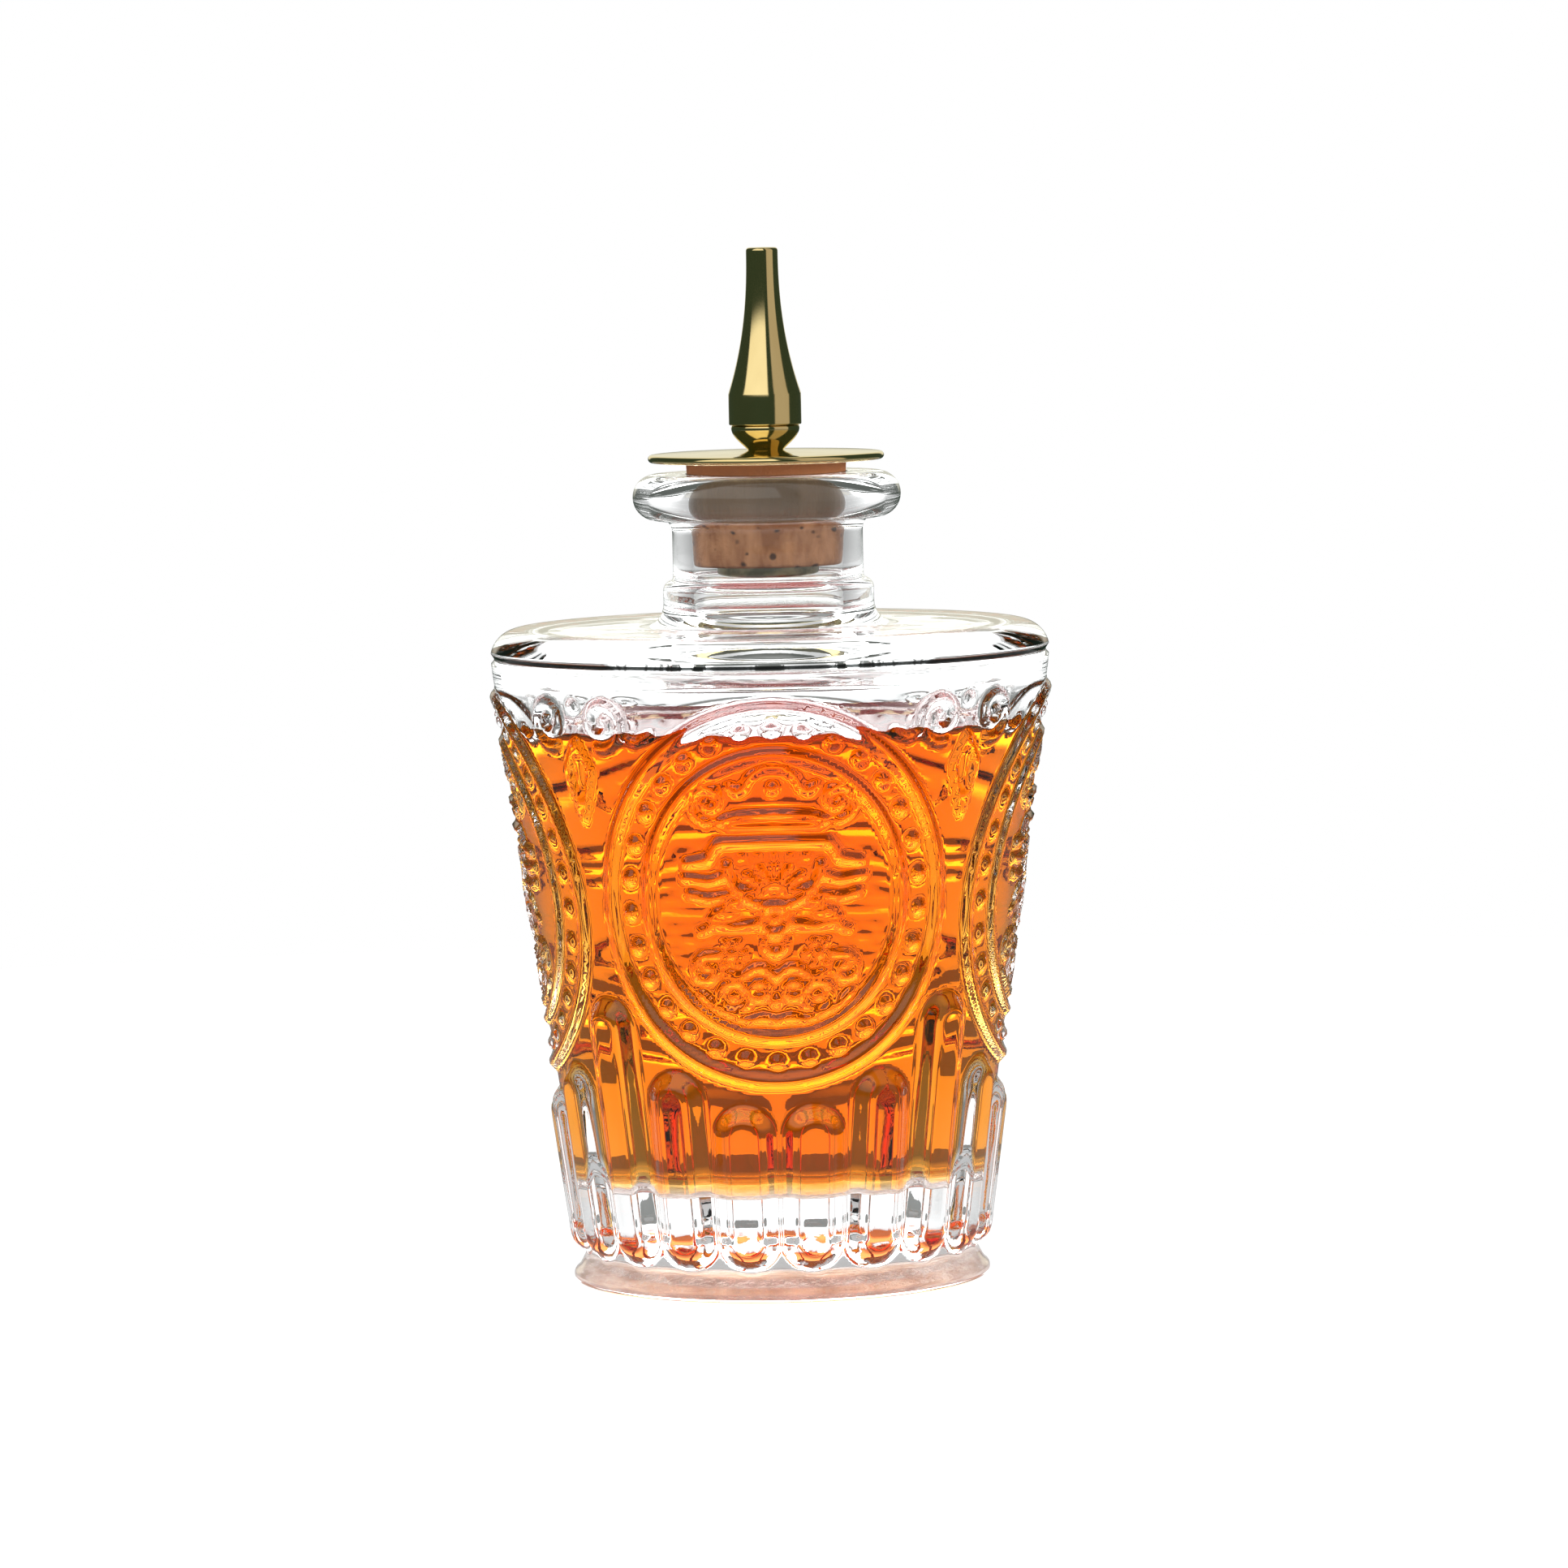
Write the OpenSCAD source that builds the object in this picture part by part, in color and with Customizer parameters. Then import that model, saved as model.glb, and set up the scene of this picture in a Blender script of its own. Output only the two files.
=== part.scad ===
/* [Foot and wall] */
// Widest radius of the flared foot
foot_r = 24.8; // [24.2:0.1:26]
// Height at which the foot meets the wall
foot_h = 3.4; // [2.6:0.1:4.2]
// Rounding of the foot's edge
foot_round = 0.8; // [0.5:0.1:1.1]
// Depth of the hollow under the foot
kick_h = 1.2; // [0.6:0.1:2.4]
// Radius of the hollow under the foot
kick_r = 19; // [15:0.5:21]
// Radius of the plain wall where it leaves the foot
wall_low_r = 23.3; // [22.8:0.1:23.8]
// Radius of the plain wall under the shoulder
wall_top_r = 33.2; // [32.6:0.1:34]

/* [Shoulder, neck and lip] */
// Height of the shoulder's upper face
shoulder_z = 77.8; // [76.6:0.1:79]
// Rounding of the shoulder's outer edge
shoulder_round = 3.5; // [2.8:0.1:4]
// Radius of the hollow curve from the shoulder up into the neck
flare_round = 2.6; // [2:0.1:3]
// Outer radius of the collar at the foot of the neck
collar_r = 12.5; // [12:0.1:13.4]
// Height of the collar's upper edge
collar_z = 83.2; // [82.6:0.1:84]
// Outer radius of the neck
neck_r = 11.3; // [11:0.1:11.8]
// Widest radius of the lip
lip_r = 15.9; // [15:0.1:17]
// Rounding of the lip's outer edge
lip_round = 2.7; // [2.3:0.1:3]
// Height of the lip's upper face
mouth_z = 95.8; // [95:0.1:96.2]

/* [Inside of the glass] */
// Thickness of the wall, measured level
wall_t = 3.7; // [3:0.1:4.4]
// Height of the inner floor
floor_z = 12; // [9:0.2:15]
// Rounding of the inner floor's edge
floor_round = 4.5; // [3:0.1:6]
// Thickness of the glass over the shoulder
shoulder_t = 3.3; // [2.6:0.1:3.8]
// Rounding inside the shoulder's edge
inner_round = 3; // [2:0.1:3.6]
// Rounding where the shoulder turns up into the bore
throat_round = 2; // [1.4:0.1:2.4]
// Height of the liquid's surface
fill_z = 64; // [30:0.5:66]

/* [Flutes] */
// Number of flutes round the wall
flute_count = 20; // [16:4:20]
// Half of a flute's width
flute_half_w = 3.5; // [3:0.05:3.55]
// How far a flute stands out from the wall
flute_rise = 1.4; // [0.8:0.1:1.6]
// Height of a flute's lower end
flute_low_z = 3.7; // [3.4:0.1:5]
// Gap between a flute's top and the ring above it
flute_gap = 2.5; // [2:0.1:4]

/* [Medallions] */
// Number of medallions round the wall
medallion_count = 4; // [3:1:4]
// Height of a medallion's centre
medallion_z = 48; // [47:0.1:49]
// Half of the outer ring's width, measured along the wall
ring_half_w = 21.2; // [19.5:0.1:21.4]
// Half of the outer ring's height
ring_half_h = 22.6; // [21:0.1:23]
// Width of the outer ring's band
ring_band = 1.5; // [1:0.1:1.8]
// Half of the inner ring's width, measured along the wall
inner_half_w = 15.8; // [14.6:0.1:16]
// Half of the inner ring's height
inner_half_h = 17.2; // [16:0.1:17.4]
// Width of the inner ring's band
inner_band = 1.2; // [0.8:0.1:1.4]
// How far the rings and the urn stand out from the wall
relief_h = 0.8; // [0.5:0.05:1]

/* [Stopper] */
// Radius of the cork at its lower end
cork_low_r = 8.8; // [8.4:0.05:9]
// Radius of the cork under the cover
cork_top_r = 9.5; // [9.2:0.05:9.8]
// Height of the cork's lower end
cork_low_z = 84.9; // [84.4:0.1:86]
// Rounding of the cork's lower edge
cork_round = 0.4; // [0.2:0.1:0.6]
// Height of the cork's upper end, where the cover sits
cork_top_z = 97.2; // [96.6:0.1:98]
// Radial gap between the cork and the neck
cork_gap = 0.05; // [0.03:0.01:0.1]
// Radius of the tube through the cork
stem_r = 6; // [5:0.1:6.6]
// How far the tube stands out under the cork
stem_end = 1.8; // [1:0.1:2.4]
// Radius of the passage in the tube
stem_bore_r = 3.2; // [2.8:0.1:4]
// Radius of the cover
cover_r = 14; // [12:0.1:15.5]
// Thickness of the cover at its rim
cover_t = 0.9; // [0.7:0.05:1.2]
// How far the cover rises from its rim to its middle
cover_rise = 0.35; // [0.2:0.05:1]

/* [Spout] */
// Height of the seam between the spout's bowl and its nozzle
seam_z = 101.4; // [101:0.1:102]
// Radius of the bowl at the seam
bowl_r = 4.05; // [3.9:0.05:4.2]
// Radius of the bowl's foot on the cover
bowl_foot_r = 2.1; // [1.9:0.05:2.4]
// Radius of the stud that screws into the tube
stud_r = 1.8; // [1.7:0.05:1.9]
// Length of the stud below the cover's underside
stud_l = 5; // [4:0.1:8]
// Radial gap of a threaded or pushed fit
fit_gap = 0.05; // [0.03:0.01:0.1]
// Radius of the spigot that the nozzle screws on
spigot_r = 2.6; // [2.4:0.05:2.9]
// Length of the spigot
spigot_l = 3; // [2:0.1:3.6]
// Radius of the passage through the bowl
passage_r = 1.1; // [0.9:0.05:1.3]
// Radius of the nozzle's widest band
band_r = 4.3; // [4.2:0.05:4.6]
// Height of the nozzle's widest band
band_h = 3.8; // [3.4:0.1:4.4]
// Radius of the nozzle's tip
tip_r = 1.88; // [1.7:0.02:2.2]
// Height of the nozzle's tip
tip_z = 122.4; // [119:0.2:126]
// Radius of the pouring hole
orifice_r = 0.9; // [0.6:0.05:1.1]
// Length of the pouring hole
orifice_l = 6; // [4:0.5:8]

/* [Hidden] */
$fn = 48;
// Extra length by which a cutting shape passes the face that it cuts
past = 1;
// Straight steps in a rounded corner of a turned profile
steps = 5;
// Sides of a small round shape in the relief, which is drawn as a polygon
relief_fn = 8;

// The plain wall is one straight cone from the foot to the shoulder's rounding
wall_top_z = shoulder_z - shoulder_round;
wall_slope = (wall_top_r - wall_low_r) / (wall_top_z - foot_h);
wall_tilt = atan(wall_slope);
function wall_r(z) = wall_low_r + wall_slope * (z - foot_h);
function inner_r(z) = wall_r(z) - wall_t;

// The cork and the neck's bore share one taper
cork_slope = (cork_top_r - cork_low_r) / (cork_top_z - cork_low_z);
function bore_r(z) = cork_low_r + cork_gap + cork_slope * (max(z, cork_low_z) - cork_low_z);
mouth_round = 0.5;

// Where the medallions' flutes end below the outer ring
ring_shoulder = 0.9;
function along(angle, z) = wall_r(z) * angle * PI / 180;
function flute_top(offset) =
    let (share = min(along(offset, medallion_z - ring_half_h) / ring_half_w, ring_shoulder))
    medallion_z - ring_half_h * sqrt(1 - share * share) - flute_gap;
function from_medallion(angle) =
    let (pitch = 360 / medallion_count, turn = angle - pitch * floor(angle / pitch))
    min(turn, pitch - turn);

// Levels of the spout
cover_top_z = cork_top_z + cover_t + cover_rise;
band_top_z = seam_z + band_h;
spigot_top_z = seam_z + spigot_l;
stem_low_z = cork_low_z - stem_end;

// Points along an arc in a turned profile, from angle a0 to angle a1
function arc(r, z, round, a0, a1, n = steps) =
    [for (i = [0 : n]) let (a = a0 + (a1 - a0) * i / n) [r + round * cos(a), z + round * sin(a)]];

// Points of an oval ring as the eye meets it from straight in front of the wall
oval_sides = 24;
function oval(half_w, half_h) =
    [for (i = [0 : oval_sides - 1])
        let (a = 360 * i / oval_sides, level = medallion_z + half_h * sin(a),
             turn = half_w * cos(a) / wall_r(level) * 180 / PI)
        [wall_r(level) * sin(turn), level]];

module outer_profile() {
    flare_r = collar_r + flare_round;
    ledge = collar_r - neck_r;
    lip_mid_r = lip_r - lip_round;
    lip_mid_z = mouth_z - lip_round;
    lip_low_r = neck_r + 0.8;
    polygon(concat(
        [[0, 0], [foot_r - foot_round, 0]],
        arc(foot_r - foot_round, foot_round, foot_round, -90, 30),
        [[wall_low_r, foot_h]],
        arc(wall_top_r - shoulder_round, wall_top_z, shoulder_round, -8, 90, 7),
        arc(flare_r, shoulder_z + flare_round, flare_round, -90, -180),
        [[collar_r, collar_z - ledge], [neck_r, collar_z], [neck_r, lip_mid_z - lip_round - 1.4],
         [lip_low_r, lip_mid_z - lip_round - 0.2]],
        arc(lip_mid_r, lip_mid_z, lip_round, -75, 90, 8),
        [[0, mouth_z]]));
}

module inner_profile() {
    ceiling_z = shoulder_z - shoulder_t;
    top_r = inner_r(ceiling_z - inner_round);
    throat_r = bore_r(0);
    polygon(concat(
        [[0, floor_z]],
        arc(inner_r(floor_z + floor_round) - floor_round, floor_z + floor_round, floor_round, -90, 0),
        arc(top_r - inner_round, ceiling_z - inner_round, inner_round, 0, 90),
        arc(throat_r + throat_round, ceiling_z + throat_round, throat_round, -90, -180),
        [[throat_r, cork_low_z], [bore_r(mouth_z - mouth_round), mouth_z - mouth_round],
         [bore_r(mouth_z) + mouth_round, mouth_z], [bore_r(mouth_z) + mouth_round, mouth_z + past],
         [0, mouth_z + past]]));
}

// An upright outline with round ends
module arch(half_w, low_z, high_z) {
    polygon(concat(arc(0, high_z - half_w, half_w, 0, 180, 8), arc(0, low_z + half_w, half_w, 180, 360, 8)));
}

// A raised tongue with a round crest, lying along the sloping wall, cut to an arched outline
module flute(top_z) {
    edge_rise = flute_rise / 3;
    crest_drop = flute_rise - edge_rise + flute_half_w * flute_half_w / (2 * wall_r(flute_low_z));
    crest = (flute_half_w * flute_half_w + crest_drop * crest_drop) / (2 * crest_drop);
    intersection() {
        translate([0, -(wall_r(flute_low_z) + flute_rise - crest), flute_low_z])
            rotate([wall_tilt, 0, 0])
                translate([0, 0, -past])
                    cylinder(r = crest, h = top_z - flute_low_z + 3 * past);
        rotate([90, 0, 0])
            translate([0, 0, wall_r(flute_low_z) - wall_t / 2])
                linear_extrude(wall_top_r - wall_low_r)
                    arch(flute_half_w, flute_low_z, top_z);
    }
}

module flutes() {
    for (i = [0 : flute_count - 1]) {
        angle = (i + 0.5) * 360 / flute_count;
        rotate([0, 0, angle])
            flute(flute_top(from_medallion(angle)));
    }
}

// Raises a flat drawing on the wall, whose middle is straight in front at this angle
module on_wall(angle) {
    inside = wall_r(medallion_z) * cos(45) - 0.6;
    intersection() {
        translate([0, 0, flute_low_z])
            cylinder(r1 = wall_r(flute_low_z) + relief_h, r2 = wall_r(wall_top_z) + relief_h,
                     h = wall_top_z - flute_low_z);
        rotate([0, 0, angle])
            rotate([90, 0, 0])
                translate([0, 0, inside])
                    linear_extrude(wall_top_r)
                        children();
    }
}

module ring(half_w, half_h, band) {
    difference() {
        polygon(oval(half_w, half_h));
        polygon(oval(half_w - band, half_h - band));
    }
}

module bar(z, half_w, half_h) {
    translate([-half_w, z - half_h])
        square([2 * half_w, 2 * half_h]);
}

module loop(x, z, r, band) {
    translate([x, z])
        difference() {
            circle(r = r);
            circle(r = r - band);
        }
}

// The urn is drawn about its own middle and set at the medallion's centre
module urn() {
    $fn = relief_fn;
    line = 0.6;
    bowl_r = 5.6;
    bowl_z = 1.6;
    foot_z = -8;
    bar(6.6, 7.6, line);
    bar(3.6, 6.8, line);
    intersection() {
        translate([0, bowl_z])
            circle(r = bowl_r, $fn = 12);
        translate([-bowl_r, bowl_z - bowl_r])
            square([2 * bowl_r, bowl_r]);
    }
    translate([0, -5.6])
        circle(r = 1.5);
    bar(foot_z, 3.4, line);
    loop(0, 9.4, 2.1, 0.8);
    for (side = [-1, 1])
        loop(side * 6.4, foot_z, 2.3, 0.9);
}

// A pair of scrolls with a pointed leaf below, between two medallions
module scrolls() {
    $fn = relief_fn;
    leaf_top_z = 65.6;
    leaf_low_z = 56.6;
    leaf_half_w = 1.9;
    leaf_wide_z = leaf_top_z - 3.2;
    for (side = [-1, 1])
        loop(side * 4.8, 68, 3, 1);
    polygon([[0, leaf_top_z], [leaf_half_w, leaf_wide_z], [0, leaf_low_z],
             [-leaf_half_w, leaf_wide_z]]);
}

module glass_bottle() {
    color("lightcyan", 0.4)
        difference() {
            union() {
                rotate_extrude()
                    outer_profile();
                flutes();
                for (i = [0 : medallion_count - 1]) {
                    angle = i * 360 / medallion_count;
                    on_wall(angle) {
                        ring(ring_half_w, ring_half_h, ring_band);
                        ring(inner_half_w, inner_half_h, inner_band);
                        translate([0, medallion_z])
                            urn();
                    }
                    on_wall(angle + 180 / medallion_count)
                        scrolls();
                }
            }
            rotate_extrude()
                inner_profile();
            translate([0, 0, -past])
                cylinder(r1 = kick_r + past, r2 = kick_r - kick_h, h = kick_h + past);
        }
}

module bitters_fill() {
    color("darkorange", 0.85)
        intersection() {
            rotate_extrude()
                inner_profile();
            cylinder(r = wall_top_r, h = fill_z);
        }
}

module cork_sleeve() {
    color("peru")
        difference() {
            union() {
                translate([0, 0, cork_low_z + cork_round])
                    cylinder(r1 = cork_low_r + cork_slope * cork_round, r2 = cork_top_r,
                             h = cork_top_z - cork_low_z - cork_round);
                translate([0, 0, cork_low_z])
                    cylinder(r1 = cork_low_r - cork_round, r2 = cork_low_r + cork_slope * cork_round,
                             h = cork_round);
            }
            translate([0, 0, cork_low_z - past])
                cylinder(r = stem_r + fit_gap, h = cork_top_z - cork_low_z + 2 * past);
        }
}

// Tube through the cork, screwed up against the cover by the bowl's stud
module stem_tube() {
    edge = 0.6;
    socket_z = cork_top_z - stud_l - past;
    color("darkolivegreen")
        difference() {
            union() {
                translate([0, 0, stem_low_z + edge])
                    cylinder(r = stem_r, h = cork_top_z - stem_low_z - edge);
                translate([0, 0, stem_low_z])
                    cylinder(r1 = stem_r - edge, r2 = stem_r, h = edge);
            }
            translate([0, 0, stem_low_z - past])
                cylinder(r = stem_bore_r, h = socket_z - stem_low_z + past);
            translate([0, 0, socket_z - past])
                cylinder(r = stud_r + fit_gap, h = stud_l + 3 * past);
        }
}

module cover_disc() {
    rim = cover_t / 2;
    color("goldenrod")
        difference() {
            rotate_extrude()
                polygon(concat(
                    [[0, cork_top_z]],
                    arc(cover_r - rim, cork_top_z + rim, rim, -90, 90),
                    [[cover_r * 0.6, cork_top_z + cover_t + cover_rise * 0.62],
                     [bowl_foot_r + 0.5, cover_top_z], [0, cover_top_z]]));
            translate([0, 0, cork_top_z - past])
                cylinder(r = stud_r + fit_gap, h = cover_top_z - cork_top_z + 2 * past);
        }
}

// Lower half of the spout: a round-bottomed bowl, its stud below and a spigot above
module spout_bowl() {
    rise = seam_z - cover_top_z;
    color("gold")
        difference() {
            union() {
                rotate_extrude()
                    polygon([[0, cover_top_z], [bowl_foot_r, cover_top_z],
                             [bowl_foot_r + (bowl_r - bowl_foot_r) * 0.55, cover_top_z + rise * 0.3],
                             [bowl_foot_r + (bowl_r - bowl_foot_r) * 0.9, cover_top_z + rise * 0.65],
                             [bowl_r, seam_z - 0.3], [bowl_r - 0.15, seam_z], [0, seam_z]]);
                translate([0, 0, cork_top_z - stud_l])
                    cylinder(r = stud_r, h = stud_l + cover_top_z - cork_top_z + past);
                translate([0, 0, seam_z - past])
                    cylinder(r = spigot_r, h = spigot_l + past);
            }
            translate([0, 0, cork_top_z - stud_l - past])
                cylinder(r = passage_r, h = spigot_top_z - cork_top_z + stud_l + 2 * past);
        }
}

// Upper half of the spout, from the widest band to the tip
module spout_nozzle() {
    nozzle_steps = 10;
    nozzle_power = 2.3;
    tip_round = 0.3;
    socket_r = spigot_r + fit_gap;
    socket_top_z = spigot_top_z + 0.4;
    seat_z = seam_z + 0.05;
    color("gold")
        difference() {
            rotate_extrude()
                polygon(concat(
                    [[0, seat_z], [band_r - 0.1, seat_z], [band_r, seat_z + 0.3], [band_r, band_top_z]],
                    [for (i = [1 : nozzle_steps - 1]) let (t = i / nozzle_steps)
                        [tip_r + (band_r - tip_r) * pow(1 - t, nozzle_power),
                         band_top_z + (tip_z - band_top_z) * t]],
                    arc(tip_r - tip_round, tip_z - tip_round, tip_round, 0, 90, 3),
                    [[0, tip_z]]));
            translate([0, 0, seat_z - past])
                cylinder(r = socket_r, h = socket_top_z - seat_z + past);
            translate([0, 0, socket_top_z - past])
                cylinder(r = passage_r, h = tip_z - orifice_l - socket_top_z + past);
            translate([0, 0, tip_z - orifice_l - past])
                cylinder(r = orifice_r, h = orifice_l + 2 * past);
        }
}

glass_bottle();
bitters_fill();
cork_sleeve();
stem_tube();
cover_disc();
spout_bowl();
spout_nozzle();
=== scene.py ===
"""Looks of a pressed glass bitters bottle and its cork stopper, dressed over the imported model."""

import logging
import math
from dataclasses import dataclass
from enum import Enum

import bmesh
import bpy
import numpy as np
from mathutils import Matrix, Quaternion, Vector


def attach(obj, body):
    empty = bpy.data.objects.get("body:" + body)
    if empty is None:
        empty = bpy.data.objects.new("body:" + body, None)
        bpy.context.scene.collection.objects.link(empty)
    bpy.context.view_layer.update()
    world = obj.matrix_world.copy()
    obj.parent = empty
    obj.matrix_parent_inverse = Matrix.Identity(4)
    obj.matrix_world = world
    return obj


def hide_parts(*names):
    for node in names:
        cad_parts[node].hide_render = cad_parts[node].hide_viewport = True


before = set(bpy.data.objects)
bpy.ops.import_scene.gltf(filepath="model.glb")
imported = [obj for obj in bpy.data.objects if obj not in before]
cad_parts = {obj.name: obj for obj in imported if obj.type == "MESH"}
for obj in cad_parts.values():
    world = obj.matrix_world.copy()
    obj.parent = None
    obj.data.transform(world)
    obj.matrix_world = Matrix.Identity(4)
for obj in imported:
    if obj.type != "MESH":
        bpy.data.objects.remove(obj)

LOG = logging.getLogger("bitters_bottle")
MM = 0.001
PHOTO_SIDE_PX = 1932
FLUTE_COUNT = 20

Point = tuple[float, float]
Colour = tuple[float, float, float, float]


def grey(level: float) -> Colour:
    """Returns an opaque grey of this level."""
    return (level, level, level, 1.0)


def arc(centre: Point, radius: float, start: float, end: float, steps: int) -> list[Point]:
    """Places points along an arc in a turned profile.

    Args:
        centre: the arc's centre, as distance from the axis and height.
        radius: its radius.
        start: the first angle in degrees, counted from level and outwards.
        end: the last angle in degrees.
        steps: how many straight steps stand for it.

    Returns:
        The points, both ends included.
    """
    angles = [math.radians(start + (end - start) * i / steps) for i in range(steps + 1)]
    return [(centre[0] + radius * math.cos(a), centre[1] + radius * math.sin(a)) for a in angles]


def run(start: Point, end: Point, steps: int) -> list[Point]:
    """Places evenly spaced points on a straight line, both ends included.

    Args:
        start: the first point.
        end: the last point.
        steps: how many equal steps lie between them.

    Returns:
        The points in order.
    """
    return [(start[0] + (end[0] - start[0]) * i / steps, start[1] + (end[1] - start[1]) * i / steps)
            for i in range(steps + 1)]


class Lathe:
    """Turns profiles, in millimetres, into closed meshes about the upright axis."""

    @staticmethod
    def spin(profile: list[Point], segments: int, ring: bool = False) -> bmesh.types.BMesh:
        """Spins a profile a full turn.

        Args:
            profile: points as distance from the axis and height, in millimetres.
            segments: how many steps the turn takes.
            ring: True if the profile closes on itself, False if both its ends lie on the axis.

        Returns:
            A closed mesh whose faces point outwards.
        """
        bm = bmesh.new()
        verts = [bm.verts.new((r * MM, 0.0, z * MM)) for r, z in profile]
        edges = [bm.edges.new(pair) for pair in zip(verts, verts[1:])]
        if ring:
            edges.append(bm.edges.new((verts[-1], verts[0])))
        bmesh.ops.spin(bm, geom=verts + edges, cent=(0, 0, 0), axis=(0, 0, 1), dvec=(0, 0, 0),
                       angle=math.tau, steps=segments, use_merge=True, use_duplicate=False)
        bmesh.ops.remove_doubles(bm, verts=bm.verts[:], dist=1e-7)
        bmesh.ops.recalc_face_normals(bm, faces=bm.faces[:])
        return bm

    @staticmethod
    def piece(name: str, bm: bmesh.types.BMesh, *materials: bpy.types.Material) -> bpy.types.Object:
        """Makes an object of a finished mesh.

        Args:
            name: the piece's name.
            bm: its mesh, which is freed.
            materials: its finishes, in the order that its faces number them.

        Returns:
            The object, smooth shaded and at the origin.
        """
        for face in bm.faces:
            face.smooth = True
        mesh = bpy.data.meshes.new(name)
        bm.to_mesh(mesh)
        bm.free()
        obj = bpy.data.objects.new(name, mesh)
        bpy.context.scene.collection.objects.link(obj)
        for material in materials:
            mesh.materials.append(material)
        return obj


class Nodes:
    """A short way to add and link nodes in one tree."""

    def __init__(self, tree: bpy.types.NodeTree) -> None:
        """Takes the tree that the nodes go into."""
        self.tree = tree

    def add(self, kind: str, sockets: dict[str | int, object] | None = None, **settings: object) -> bpy.types.Node:
        """Adds a node.

        Args:
            kind: the node's type name.
            sockets: values, or output sockets to link, by input name or number.
            settings: the node's own properties.

        Returns:
            The node.
        """
        node = self.tree.nodes.new(kind)
        for key, value in settings.items():
            setattr(node, key, value)
        for key, value in (sockets or {}).items():
            if isinstance(value, bpy.types.NodeSocket):
                self.tree.links.new(value, node.inputs[key])
            else:
                node.inputs[key].default_value = value
        return node

    def math(self, operation: str, *values: object) -> bpy.types.NodeSocket:
        """Adds a maths node and returns its output.

        Args:
            operation: the node's operation.
            values: its inputs in order, as numbers or sockets.

        Returns:
            The result's socket.
        """
        return self.add("ShaderNodeMath", dict(enumerate(values)), operation=operation).outputs[0]

    def blend(self, share: object, first: object, second: object) -> bpy.types.NodeSocket:
        """Mixes two colours and returns the result.

        Args:
            share: how much of the second colour shows.
            first: a colour or a socket.
            second: a colour or a socket.

        Returns:
            The mixed colour's socket.
        """
        return self.add("ShaderNodeMix", {0: share, 6: first, 7: second}, data_type="RGBA").outputs[2]

    def window(self, value: bpy.types.NodeSocket, low: float, high: float, soft: float) -> bpy.types.NodeSocket:
        """Makes a mask that is 1 between two limits.

        Args:
            value: what is tested.
            low: the lower limit.
            high: the upper limit.
            soft: the width of the soft edge at each limit.

        Returns:
            The mask's socket.
        """
        rise = self.add("ShaderNodeMapRange", {0: value, 1: low - soft, 2: low + soft},
                        interpolation_type="SMOOTHSTEP").outputs[0]
        fall = self.add("ShaderNodeMapRange", {0: value, 1: high - soft, 2: high + soft, 3: 1.0, 4: 0.0},
                        interpolation_type="SMOOTHSTEP").outputs[0]
        return self.math("MULTIPLY", rise, fall)


class SharedEffects:
    """Node groups that more than one finish uses."""

    @staticmethod
    def _group(name: str, inputs: list[tuple[str, str, object]], outputs: list[tuple[str, str]]) -> bpy.types.NodeTree:
        """Starts a node group.

        Args:
            name: the group's name.
            inputs: name, socket type and default of each input.
            outputs: name and socket type of each output.

        Returns:
            The empty group.
        """
        tree = bpy.data.node_groups.new(name, "ShaderNodeTree")
        for label, kind, value in inputs:
            socket = tree.interface.new_socket(label, in_out="INPUT", socket_type=kind)
            socket.default_value = value
        for label, kind in outputs:
            tree.interface.new_socket(label, in_out="OUTPUT", socket_type=kind)
        return tree

    @classmethod
    def mottle(cls) -> bpy.types.NodeTree:
        """Builds the group that mixes two colours in soft patches, stretched along the height.

        Returns:
            The group, with outputs Color and Mask.
        """
        tree = cls._group("mottle", [("Light", "NodeSocketColor", grey(0.8)), ("Dark", "NodeSocketColor", grey(0.2)),
                                     ("Scale", "NodeSocketFloat", 300.0), ("Stretch", "NodeSocketFloat", 1.0),
                                     ("Low", "NodeSocketFloat", 0.4), ("High", "NodeSocketFloat", 0.6)],
                          [("Color", "NodeSocketColor"), ("Mask", "NodeSocketFloat")])
        nodes = Nodes(tree)
        given = nodes.add("NodeGroupInput").outputs
        place = nodes.add("ShaderNodeTexCoord").outputs["Object"]
        squeeze = nodes.add("ShaderNodeCombineXYZ", {"X": 1.0, "Y": 1.0, "Z": given["Stretch"]}).outputs[0]
        spread = nodes.add("ShaderNodeVectorMath", {0: place, 1: squeeze}, operation="MULTIPLY").outputs[0]
        noise = nodes.add("ShaderNodeTexNoise", {"Vector": spread, "Scale": given["Scale"], "Detail": 4.0}).outputs[0]
        mask = nodes.add("ShaderNodeMapRange", {0: noise, 1: given["Low"], 2: given["High"]}).outputs[0]
        mixed = nodes.blend(mask, given["Light"], given["Dark"])
        nodes.add("NodeGroupOutput", {"Color": mixed, "Mask": mask})
        return tree

    @classmethod
    def ripple(cls) -> bpy.types.NodeTree:
        """Builds the group of slow surface waves over a fine grain.

        Returns:
            The group, with output Height.
        """
        tree = cls._group("ripple", [("Wave scale", "NodeSocketFloat", 120.0), ("Grain scale", "NodeSocketFloat", 900.0),
                                     ("Grain share", "NodeSocketFloat", 0.1)], [("Height", "NodeSocketFloat")])
        nodes = Nodes(tree)
        given = nodes.add("NodeGroupInput").outputs
        place = nodes.add("ShaderNodeTexCoord").outputs["Object"]
        wave = nodes.add("ShaderNodeTexNoise", {"Vector": place, "Scale": given["Wave scale"], "Detail": 1.0}).outputs[0]
        grain = nodes.add("ShaderNodeTexNoise", {"Vector": place, "Scale": given["Grain scale"], "Detail": 3.0}).outputs[0]
        fine = nodes.math("MULTIPLY", grain, given["Grain share"])
        nodes.add("NodeGroupOutput", {"Height": nodes.math("ADD", wave, fine)})
        return tree


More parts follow.
